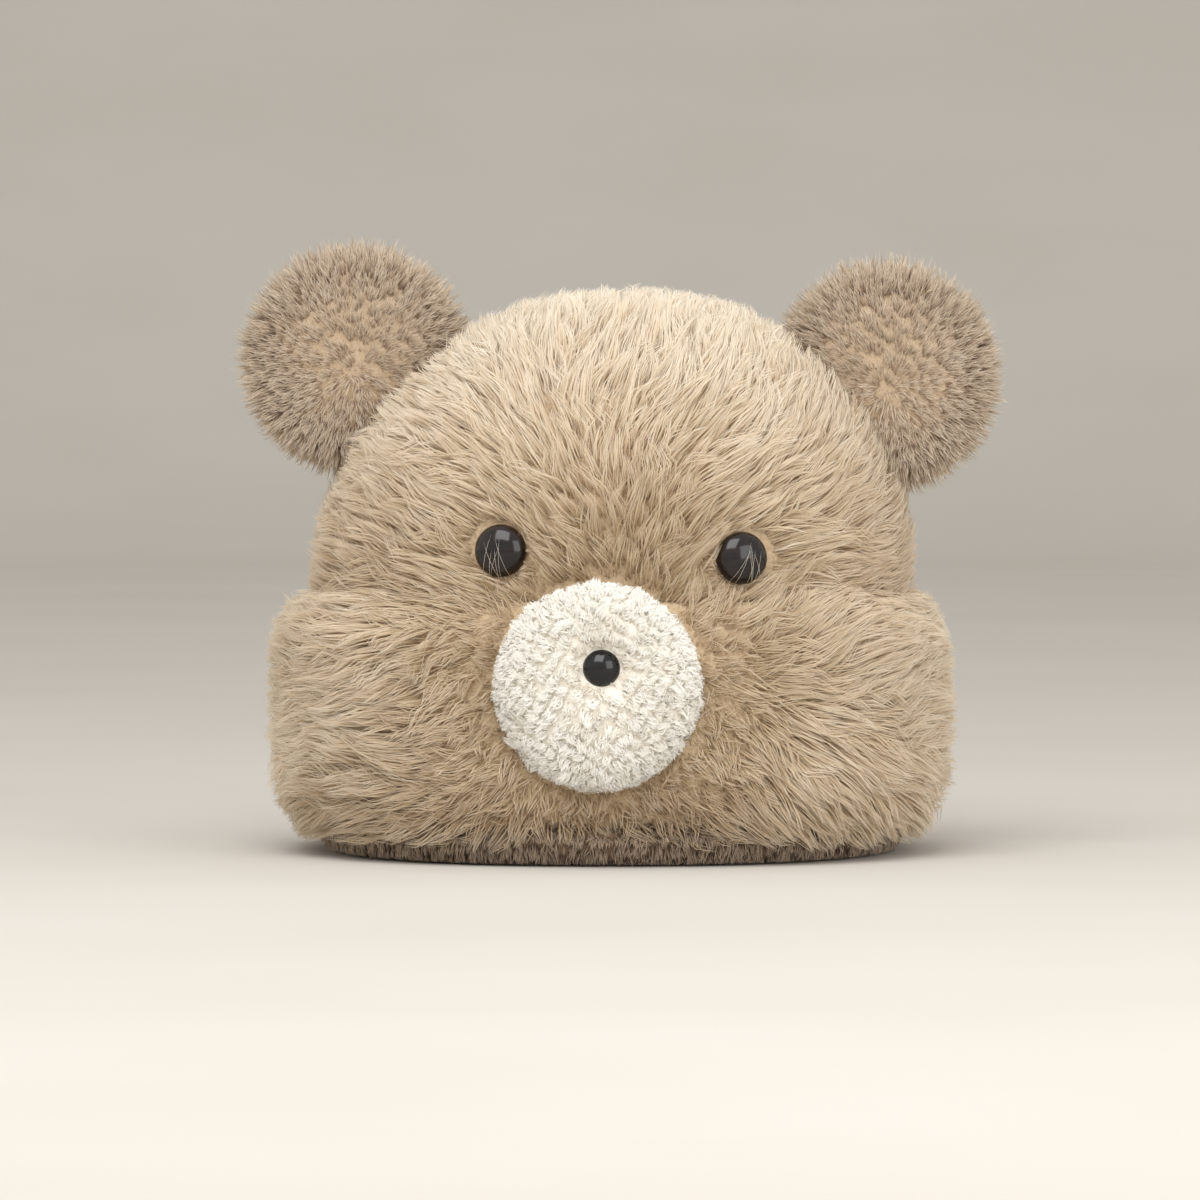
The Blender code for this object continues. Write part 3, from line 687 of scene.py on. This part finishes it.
def crown_style(points, normals):
    """The crown's pile is brushed away from the muzzle. It stands up most on top, and is paler higher up as
    painted light from above. It is short between the eyes, darker there as painted shade over the cuff, and
    ends at the eyes."""
    count = len(points)
    comb = brushed_away(points, normals)
    sway = 0.30 * np.sin(points[:, 0] * 38 + points[:, 2] * 23 + 0.6)
    sway = sway + 0.2 * np.sin(points[:, 2] * 71 + points[:, 0] * 55)
    comb = turned_about(comb, normals, sway + 0.12)
    top = smoothstep(0.145, 0.185, points[:, 2])
    brow = 1 - smoothstep(0.01, 0.05, face_distance(points, (0, 0, CUFF_TOP + 0.012)))
    run = CROWN_LIE - 0.0040 * top - 0.0045 * brow
    full = run.copy()
    for place, _ in EYES.values():
        run = stop_short(points, comb, run, place, EYE_RADIUS, draws.uniform(-0.0016, 0.0012, count))
    rise = (CROWN_RISE + 0.0030 * top) * (0.45 + 0.55 * np.clip(run / full, 0.35, 1))
    # Paler higher up is painted light from above; darker at the brow is painted shade over the cuff
    tone = 0.45 + 0.31 * smoothstep(0.10, 0.2, points[:, 2]) - 0.07 * brow
    keep = ~inside_ear(points + normals * 0.004)
    for place, _ in EYES.values():
        keep &= face_distance(points, place) > EYE_RADIUS * 0.93
    keep &= face_distance(points, MUZZLE_MIDDLE) > MUZZLE_RADIUS
    return {"comb": comb, "run": run, "rise": rise, "tone": tone, "keep": keep}


def cuff_style(points, normals):
    """The cuff's pile is brushed away from the muzzle in every direction, up over its own top edge too, and
    is short and frizzy beside the muzzle, darker there and toward its foot as painted shade. It hangs over
    the rim like a fringe."""
    count = len(points)
    front = smoothstep(-0.35, 0.75, (AXIS[1] - points[:, 1]) / HALF_DEPTH)
    away = np.hypot(points[:, 0] - MUZZLE_MIDDLE[0], points[:, 2] - MUZZLE_MIDDLE[2])
    comb = brushed_away(points, normals)
    grown = smoothstep(0.0, 0.042, away - MUZZLE_RADIUS + 0.1 * (1 - front))
    sway = 0.3 * np.sin(points[:, 0] * 47 + points[:, 2] * 61)
    sway = sway + 0.22 * np.sin(points[:, 1] * 66 + points[:, 2] * 90)
    comb = turned_about(comb, normals, sway + draws.normal(0, 1, count) * 0.5 * (1 - grown))
    side = smoothstep(0.55, 1.0, np.abs(points[:, 0] - AXIS[0]) / (HALF_WIDTH + CUFF_PAD))
    share = (points[:, 2] - CUFF_FOOT) / CUFF_SPAN
    brim = smoothstep(0.8, 1.0, share)
    run = CUFF_LIE_BY_MUZZLE + (CUFF_LIE - CUFF_LIE_BY_MUZZLE) * grown
    run = run + 0.0055 * brim * (1 - grown) + draws.uniform(-0.002, 0.002, count) * brim
    rise = CUFF_RISE + 0.0055 * grown + 0.0030 * side - (0.0020 + 0.0025 * grown) * brim
    room = points[:, 2] - FRINGE_END + draws.uniform(-0.0012, 0.0012, count)
    run = np.minimum(run, np.maximum(room, 0.004) / np.maximum(-comb[:, 2], 0.05))
    for place, _ in EYES.values():
        run = stop_short(points, comb, run, place, EYE_RADIUS, draws.uniform(-0.001, 0.0030, count))
    # Darker beside the muzzle and toward the foot: painted shade from the muzzle and on the cuff's lower
    # part
    tone = 0.29 + 0.22 * grown + 0.04 * side - 0.12 * (1 - smoothstep(0.014, 0.04, points[:, 2]))
    keep = face_distance(points, MUZZLE_MIDDLE) > MUZZLE_RADIUS - 0.001
    return {"comb": comb, "run": run, "rise": rise, "tone": tone, "keep": keep}


def shortened(style, share):
    """A pile style with shorter fibres for the underfur, darker as painted shade down among the long pile.
    """

    def short(points, normals):
        made = style(points, normals)
        # The underfur's darker tone is painted shade down among the long pile
        lower, darker = made["rise"] * (share + 0.1), made["tone"] - 0.06
        return {**made, "run": made["run"] * share, "rise": lower, "tone": darker}

    return short


def ear_style(middle, radius):
    """Short dense pile that stands off the ear and leans out from the middle of its face, darker toward
    the crown as painted shade where the ear meets it."""

    def style(points, normals):
        comb = along_surface((points - middle) * [1, 0, 1] + UP * 0.004, normals)
        edge = smoothstep(0.6, 1.0, np.linalg.norm((points - middle) * [1, 0, 1], axis=1) / radius)
        # Darker near the crown is painted shade where the ear meets it
        near = 1 - smoothstep(1.0, 1.3, crown_share(points, 0))
        return {
            "comb": comb,
            "run": EAR_LIE - 0.002 * edge,
            "rise": EAR_RISE + 0.0046 * edge,
            "tone": 0.5 + 0.05 * (1 - edge) - 0.12 * near,
            "keep": crown_share(points, 0.0015) > 1,
        }

    return style


def rim_style(points, normals):
    """Short pile that lies outwards and down round the rim, darker toward the middle of the front and back
    than at the sides as painted shade under the cuff's fringe.
    """
    count = len(points)
    comb = along_surface(np.broadcast_to(-UP, points.shape), normals)
    # Darker toward the middle is painted shade under the cuff's fringe
    tone = 0.36 + 0.34 * smoothstep(0.45, 0.95, np.abs(points[:, 0] - AXIS[0]) / HALF_WIDTH)
    run = np.minimum(np.full(count, RIM_LIE), np.maximum(points[:, 2] - 0.0006, 0.0006))
    rise = RIM_RISE * smoothstep(0.0, 0.005, points[:, 2]) + 0.0003
    return {"comb": comb, "run": run, "rise": rise, "tone": tone, "keep": np.full(count, True)}


def muzzle_style(points, normals):
    """Fleece tufts that run out from the nose, and under it more sideways. They stop at the nose. They are
    paler above the nose as painted light from above, and darker round it as painted shadow in its dimple.
    """
    count = len(points)
    aside, above = points[:, 0] - NOSE_MIDDLE[0], points[:, 2] - NOSE_MIDDLE[2]
    high = smoothstep(-0.004, 0.008, above)
    flat = np.stack([aside, np.zeros(count), above * (0.35 + 0.65 * high)], axis=1)
    comb = along_surface(unit(flat), normals)
    from_nose = np.hypot(aside, above)
    from_middle = np.hypot(points[:, 0] - MUZZLE_MIDDLE[0], points[:, 2] - MUZZLE_MIDDLE[2])
    edge = smoothstep(0.75, 1.0, from_middle / MUZZLE_RADIUS)
    # Paler above the nose is painted light from above; darker round the nose is painted shadow in its dimple
    shadow = 1 - smoothstep(1.0, 1.5, from_nose / NOSE_RADIUS)
    run = np.full(count, FLEECE_LIE)
    run = stop_short(points, comb, run, NOSE_MIDDLE, NOSE_RADIUS, draws.uniform(-0.001, 0.0012, count))
    return {
        "comb": comb,
        "run": run,
        "rise": FLEECE_RISE - 0.0006 * edge,
        "tone": 0.5 + 0.1 * smoothstep(-0.03, 0.03, above) - 0.35 * shadow,
        "keep": (from_nose > NOSE_RADIUS * 1.02) & (normals[:, 1] < 0.3),
    }


# How each coat clumps. Levels of locks, wisps and fibres have a count, a scatter and a stray angle each, and
# longer gives each level's share of long ones and how much longer they are
LONG_COAT = {
    "segments": 3,
    "uneven": 0.3,
    "lock_pull": 0.6,
    "wisp_pull": 0.8,
    "frizz": 0.0006,
    "tones": (0.04, 0.05, 0.05),
    "longer": ((0.15, 1.2), (0.1, 1.25), (0.1, 1.2)),
    "floor": 0.004,
}
SHORT_COAT = {
    **LONG_COAT,
    "segments": 2,
    "lock_pull": 0.3,
    "wisp_pull": 0.5,
    "frizz": 0.0008,
    "floor": 0.0006,
}
EAR_COAT = {**SHORT_COAT, "longer": ((0.2, 1.2), (0.2, 1.3), (0.2, 1.7)), "uneven": 0.4}
FLEECE_COAT = {
    **LONG_COAT,
    "lock_pull": 0.75,
    "wisp_pull": 0.7,
    "frizz": 0.0012,
    "tones": (0.08, 0.05, 0.03),
    "longer": ((0.07, 2.1), (0, 1), (0.1, 1.3)),
}


def make_crown(pile, underfur, cloth):
    lowest = (CUFF_TOP - SPRING_LINE) / DOME_RISE
    place = {"surface": crown_surface, "move": moved_directions, "radius": 0.095, "style": crown_style}
    long = {
        **LONG_COAT,
        **place,
        "places": spiral(640, lowest),
        "levels": [(1, 0, 0.3), (15, 0.0072, 0.14), (4, 0.0017, 0.08)],
    }
    short = {
        **SHORT_COAT,
        **place,
        "style": shortened(crown_style, 0.6),
        "places": spiral(640, lowest),
        "levels": [(1, 0, 0.2), (10, 0.0080, 0.25), (4, 0.0022, 0.2)],
    }
    wall = crown_rows(96, (CROWN_FOOT - SPRING_LINE) / DOME_RISE, 4, 24)
    backing = crown_rows(96, lowest, 2, 24)
    mat = crown_shell(backing, MAT_OUTSIDE, MAT_INSIDE)
    shell = crown_shell(wall, 0, -CROWN_WALL)
    return [
        (pile_piece("crown_pile", long, pile, LONG_STRAND), "long_pile", "crown_fur"),
        (pile_piece("crown_underfur", short, pile, UNDERFUR_STRAND), "long_pile", "crown_fur"),
        (skin("crown_backing", mat, underfur), "long_pile", "crown_fur"),
        (skin("crown_cloth", shell, cloth), "ground_cloth", "crown_side", "crown_top"),
    ]


def crown_shell(rows, outside, inside):
    """A shell between two offsets of the crown, as rows from the outer pole down to the foot and up to
    the inner pole."""
    outer, inner = over_rows(crown_surface, rows, outside), over_rows(crown_surface, rows, inside)
    return np.concatenate([outer[::-1], inner])


def make_cuff(pile, underfur, cloth):
    place = {"surface": cuff_surface, "move": moved_places(CUFF_SPAN), "radius": 0.105, "style": cuff_style}
    long = {
        **LONG_COAT,
        **place,
        "places": belt(74, 9),
        "levels": [(1, 0, 0.3), (15, 0.0072, 0.16), (4, 0.0017, 0.08)],
    }
    short = {
        **SHORT_COAT,
        **place,
        "style": shortened(cuff_style, 0.55),
        "floor": 0.004,
        "places": belt(74, 9),
        "levels": [(1, 0, 0.2), (10, 0.0080, 0.25), (4, 0.0022, 0.2)],
    }
    turn = np.arange(128) / 128 * 2 * math.pi
    shares = np.linspace(0, 1, 20)
    grid = np.stack(np.broadcast_arrays(turn[None], shares[:, None]), axis=-1)
    outer = over_rows(cuff_surface, grid, 0)
    x, y = oval(turn, HALF_WIDTH + 0.0003, HALF_DEPTH + 0.0003)
    inner = np.stack([np.stack([x, y, np.full(128, z)], axis=-1) for z in (CUFF_TOP, CUFF_FOOT)])
    mat_faces = [over_rows(cuff_surface, grid, MAT_OUTSIDE), over_rows(cuff_surface, grid, MAT_INSIDE)[::-1]]
    return [
        (pile_piece("cuff_pile", long, pile, LONG_STRAND), "long_pile", "cuff_fur"),
        (pile_piece("cuff_underfur", short, pile, UNDERFUR_STRAND), "long_pile", "cuff_fur"),
        (skin("cuff_backing", np.concatenate(mat_faces), underfur, True), "long_pile", "cuff_fur"),
        (skin("cuff_cloth", np.concatenate([outer, inner]), cloth, True), "ground_cloth", "cuff"),
    ]


def make_rim(pile, underfur):
    turn = np.arange(128) / 128 * 2 * math.pi
    shares = np.linspace(0, 1, 28, endpoint=False)
    closed = np.concatenate([RIM_SECTION, RIM_SECTION[:1]])
    grid = np.stack(np.broadcast_arrays(turn[None], shares[:, None]), axis=-1)
    x, y, z, _ = section_surface(closed, grid.reshape(-1, 2), 0, RIM_HEIGHT)
    rows = np.stack([x, y, z], axis=1).reshape(28, 128, 3)
    coat = {
        **SHORT_COAT,
        "surface": rim_surface,
        "move": moved_places(0.020),
        "radius": 0.1,
        "style": rim_style,
        "places": belt(110, 4, 0.1, 0.95),
        "levels": [(1, 0, 0.3), (9, 0.0045, 0.4), (4, 0.0014, 0.3)],
    }
    return [
        (skin("rim_roll", rows, underfur, True), "rim_pile", "rim_band"),
        (pile_piece("rim_short_pile", coat, pile, RIM_STRAND), "rim_pile", "rim_band"),
    ]


def make_ear(side, pile, underfur):
    middle, radius = EARS[side]
    surface = ear_surface(middle, radius)
    coat = {
        **EAR_COAT,
        "surface": surface,
        "move": moved_directions,
        "radius": radius,
        "style": ear_style(middle, radius),
        "places": spiral(420, -1),
        "levels": [(1, 0, 0.5), (10, 0.0030, 0.5), (6, 0.0011, 0.4)],
    }
    rows = over_rows(surface, ball_rows(72, 40), 0.0008)
    points = rows.reshape(-1, 3)
    share = crown_share(points, 0.0006)
    centre = np.array([AXIS[0], AXIS[1], SPRING_LINE])
    inside = (share < 1)[:, None]
    rows = np.where(inside, centre + (points - centre) / share[:, None], points).reshape(rows.shape)
    ear = f"ear_{side}"
    return [
        (skin(ear + "_body", rows, underfur), "short_pile", ear),
        (pile_piece(ear + "_pile", coat, pile, EAR_STRAND), "short_pile", ear),
    ]


def make_muzzle(pile, underfur):
    coat = {
        **FLEECE_COAT,
        "surface": muzzle_surface,
        "move": moved_directions,
        "radius": MUZZLE_RADIUS,
        "style": muzzle_style,
        "places": spiral(620, -1),
        "levels": [(1, 0, 0.8), (6, 0.0020, 0.7), (6, 0.0010, 0.6)],
    }
    rows = over_rows(muzzle_surface, ball_rows(96, 60), 0.0002)
    return [
        (skin("muzzle_body", rows, underfur), "cream_fleece", "muzzle"),
        (pile_piece("muzzle_fleece", coat, pile, FLEECE_STRAND, 0.6), "cream_fleece", "muzzle"),
    ]


def make_buttons(eye_gloss, nose_gloss):
    made = []
    angles = np.linspace(0, math.pi / 2, 14)
    edge = EYE_STAND_OFF + EYE_EDGE
    shank_foot = 0.0006
    profile = [(0, shank_foot), (EYE_SHANK, shank_foot), (EYE_SHANK, EYE_STAND_OFF)]
    profile += [(EYE_RADIUS * 0.93, EYE_STAND_OFF), (EYE_RADIUS, EYE_STAND_OFF + EYE_EDGE / 2)]
    profile += [(EYE_RADIUS * math.cos(a), edge + EYE_DOME * math.sin(a)) for a in angles[:-1]]
    profile += [(0, edge + EYE_DOME)]
    for side, (place, direction) in EYES.items():
        button = turned(f"eye_{side}_button", profile, place, direction, 56, eye_gloss)
        made.append((button, "eye_button", f"eye_{side}"))
    front, back = boxes["nose"][0][1], boxes["nose"][1][1]
    centre = back - front - NOSE_HALF_DEPTH
    start = math.asin(NOSE_SHANK / NOSE_RADIUS)
    profile = [(0, 0), (NOSE_SHANK, 0)]
    turns = np.linspace(start, math.pi, 26)[:-1]
    profile += [(NOSE_RADIUS * math.sin(a), centre - NOSE_HALF_DEPTH * math.cos(a)) for a in turns]
    profile += [(0, centre + NOSE_HALF_DEPTH)]
    place = (NOSE_MIDDLE[0], back, NOSE_MIDDLE[2])
    button = turned("nose_button", profile, place, FRONT, 56, nose_gloss)
    return [*made, (button, "nose_button", "nose")]


def make_eye_hairs(pile):
    """A few thin hairs from under each eye that fan up over its dome."""
    shares = np.linspace(0, 1, 5)
    paths, normals = [], []
    for place, direction in EYES.values():
        count = 7
        across = unit(np.cross(UP, direction))
        angle = -math.pi / 2 + draws.normal(0, 0.35, count)
        start = np.stack([np.cos(angle), np.sin(angle)], axis=1) * (EYE_RADIUS + 0.0016)
        fan = math.pi / 2 + draws.uniform(-1.3, 1.3, count)
        reach = draws.uniform(0.1, 0.75, (count, 1)) * EYE_RADIUS
        end = np.stack([np.cos(fan), np.sin(fan)], axis=1) * reach
        flat = start[:, None] + (end - start)[:, None] * shares[None, :, None]
        bow = np.clip(1 - (flat**2).sum(axis=2) / EYE_RADIUS**2, 0, 1) ** 0.5
        height = EYE_STAND_OFF + EYE_EDGE + EYE_DOME * bow + 0.0011
        world = place + flat[..., :1] * across + flat[..., 1:] * UP + height[..., None] * direction
        paths.append(world)
        normals.append(np.broadcast_to(direction, (count, 3)))
    paths, normals = np.concatenate(paths), np.concatenate(normals)
    tone = np.full(len(paths), 0.8) + draws.uniform(-0.1, 0.1, len(paths))
    piece = array_mesh("eye_hairs", *ribbon_arrays(paths, normals, tone, LOOSE_HAIR, 0.3))
    piece.data.materials.append(pile)
    return [(piece, "long_pile", "crown_fur")]


def make_camera():
    lens = bpy.data.cameras.new("camera")
    lens.lens = LENS_MM
    lens.sensor_width = SENSOR_MM
    camera = bpy.data.objects.new("camera", lens)
    bpy.context.scene.collection.objects.link(camera)
    distance = PHOTO_PIXELS * PIXEL * LENS_MM / SENSOR_MM
    middle_pixel = PHOTO_PIXELS / 2
    aside, above = (middle_pixel - FACE_MIDDLE_PIXEL) * PIXEL, (FOOT_PIXEL - middle_pixel) * PIXEL
    aim = Vector((aside, FACE_PLANE, above))
    elevation = math.radians(ELEVATION_DEG)
    camera.location = aim + Vector((0, -math.cos(elevation), math.sin(elevation))) * distance
    camera.rotation_euler = (aim - camera.location).to_track_quat("-Z", "Y").to_euler()
    lens.clip_start, lens.clip_end = 0.05, 20
    bpy.context.scene.camera = camera


def area_light(name, place, aim, size, power):
    lamp = bpy.data.lights.new(name, "AREA")
    lamp.shape = "RECTANGLE"
    lamp.size, lamp.size_y = size
    lamp.energy = power
    obj = bpy.data.objects.new(name, lamp)
    obj.location = place
    obj.rotation_euler = (Vector(aim) - Vector(place)).to_track_quat("-Z", "Y").to_euler()
    bpy.context.scene.collection.objects.link(obj)


def make_studio():
    made, tree = new_material("pale_seamless_paper")
    noise = node(tree, "ShaderNodeTexNoise", Scale=60.0, Detail=3.0)
    tint = ramp(tree, noise.outputs["Fac"], [(0.3, "#C9C4BC"), (0.7, "#CCC8C1")])
    finish_material(tree, Base_Color=tint, Roughness=0.9)
    side, bend_start, bend_radius, wall_top = 7.0, 3.4, 0.8, 5.0
    angles = np.linspace(0, math.pi / 2, 12)
    bend = [(bend_start + bend_radius * math.sin(a), bend_radius * (1 - math.cos(a))) for a in angles]
    profile = [(-side, 0.0), *bend, (bend_start + bend_radius, wall_top)]
    points = np.array([(x, y, z) for y, z in profile for x in (-side, side)])
    corners = np.concatenate([[2 * i, 2 * i + 1, 2 * i + 3, 2 * i + 2] for i in range(len(profile) - 1)])
    floor = array_mesh("floor", points, corners, np.full(len(profile) - 1, 4))
    floor.data.materials.append(made)
    world = bpy.data.worlds.new("studio")
    world.use_nodes = True
    world.node_tree.nodes["Background"].inputs["Color"].default_value = (1, 0.98, 0.95, 1)
    world.node_tree.nodes["Background"].inputs["Strength"].default_value = 0.85
    bpy.context.scene.world = world
    area_light("key", (-0.3, -1.0, 1.4), (0, 0, 0.12), (1.2, 1.2), 18)
    area_light("fill", (0.9, -1.1, 0.5), (0, 0, 0.1), (0.9, 0.9), 6)
    bpy.context.scene.view_settings.view_transform = "Standard"


def main():
    long_pile = pile_material(
        "beige_acrylic_long_pile",
        [(0.0, "#937A5E"), (0.25, "#C4AC8A"), (0.5, "#E0CDB1"), (0.75, "#F3E9D7"), (1.0, "#FBF5EA")],
        "#A58B6D",
        0.5,
        "#FAF2E3",
        0.58,
    )
    short_pile = pile_material(
        "beige_acrylic_short_pile",
        [(0.0, "#A58F78"), (0.5, "#DDCCB5"), (1.0, "#F5EDE0")],
        "#AC9580",
        0.7,
        "#F8F1E5",
        0.65,
    )
    # The rim's pile is given darker browns than the rest of the hat: painted shade under the cuff's fringe
    rim_pile = pile_material(
        "rim_acrylic_short_pile_painted_shade",
        [(0.0, "#7C6B5B"), (0.5, "#B5A18C"), (1.0, "#D8C7B2")],
        "#7B6857",
        0.7,
        "#D6C5B0",
        0.7,
    )
    fleece = pile_material(
        "cream_polyester_fleece",
        [(0.0, "#E8E0D0"), (0.5, "#FCF9F2"), (1.0, "#FFFEFA")],
        "#F8F3E8",
        0.4,
        "#FFFEFA",
        0.8,
    )
    # The underfur colours are the pile's beige made darker, like the roots: painted shade deep among the
    # fibres. The rim's is darker still, painted shade under the cuff's fringe
    underfur = mottled_material("beige_acrylic_underfur", "#AC9475", "#C6B092", 1.2, 0.9, 0.5)
    ear_underfur = mottled_material("beige_acrylic_ear_underfur", "#B39B81", "#CBB599", 0.8, 0.9, 0.4)
    rim_underfur = mottled_material("rim_acrylic_underfur_painted_shade", "#7A6551", "#93795F", 0.8, 0.9, 0.4)
    fleece_ground = mottled_material("cream_polyester_fleece_ground", "#EDE5D6", "#FAF6EC", 1.5, 0.95, 0.8)
    cloth = knitted_material("beige_knitted_ground_cloth", "#8F7759", "#B59B7B", 1.6)
    eye_gloss = gloss_material("dark_brown_polished_acrylic", "#0A0605", "#221411")
    nose_gloss = gloss_material("black_polished_acrylic", "#050506", "#141419")

    pieces = make_crown(long_pile, underfur, cloth)
    pieces += make_cuff(long_pile, underfur, cloth)
    pieces += make_rim(rim_pile, rim_underfur)
    for side in EARS:
        pieces += make_ear(side, short_pile, ear_underfur)
    pieces += make_muzzle(fleece, fleece_ground)
    pieces += make_buttons(eye_gloss, nose_gloss)
    pieces += make_eye_hairs(long_pile)
    for piece, slot, *nodes in pieces:
        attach(piece, "root")
        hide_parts(*nodes)
    make_studio()
    make_camera()


main()
